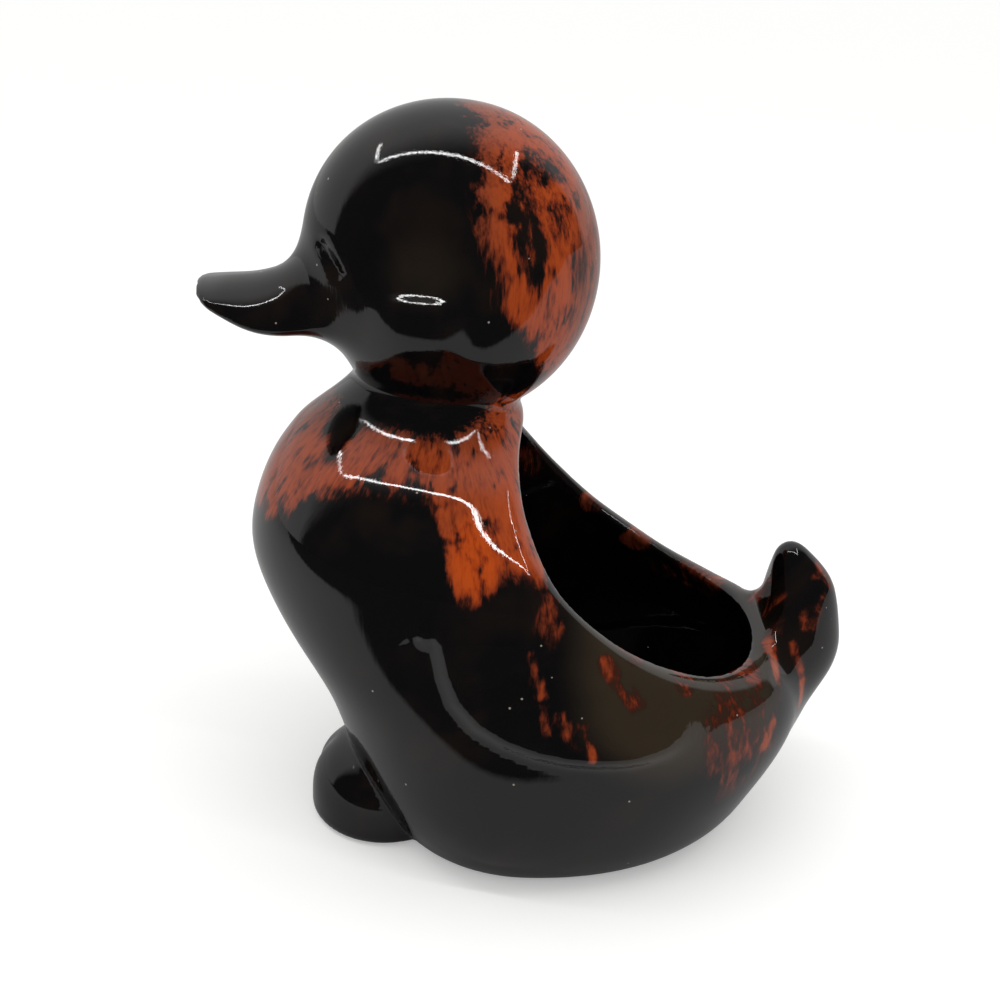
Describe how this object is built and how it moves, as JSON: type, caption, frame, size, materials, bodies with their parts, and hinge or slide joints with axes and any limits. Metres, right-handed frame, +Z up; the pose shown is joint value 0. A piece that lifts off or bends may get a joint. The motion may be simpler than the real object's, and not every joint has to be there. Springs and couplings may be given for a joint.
{
  "type": "duck planter",
  "caption": "Hollow glazed earthenware duckling with an oval planting opening in its back, between the head and an upright tail.",
  "frame": {"origin": "on the ground, under the middle of the overall length and width", "axes": "-X is where the duckling looks, +X its tail, -Y its left side, +Z up"},
  "size_m": [0.1286, 0.0878, 0.1409],
  "materials": {
    "bare_clay": "unglazed earthenware on the underside",
    "glaze_black": "mirror-black gloss glaze",
    "glaze_rust": "gloss glaze with rust and orange runs over black"
  },
  "bodies": {
    "root": {"base": "bare_clay", "basin": "glaze_black", "neck": "glaze_black", "head": "glaze_black", "bill_upper": "glaze_black", "bill_lower": "glaze_black", "foot_left": "glaze_black", "foot_right": "glaze_black", "wing_left": "glaze_rust", "wing_right": "glaze_rust", "tail": "glaze_rust"}
  },
  "joints": []
}
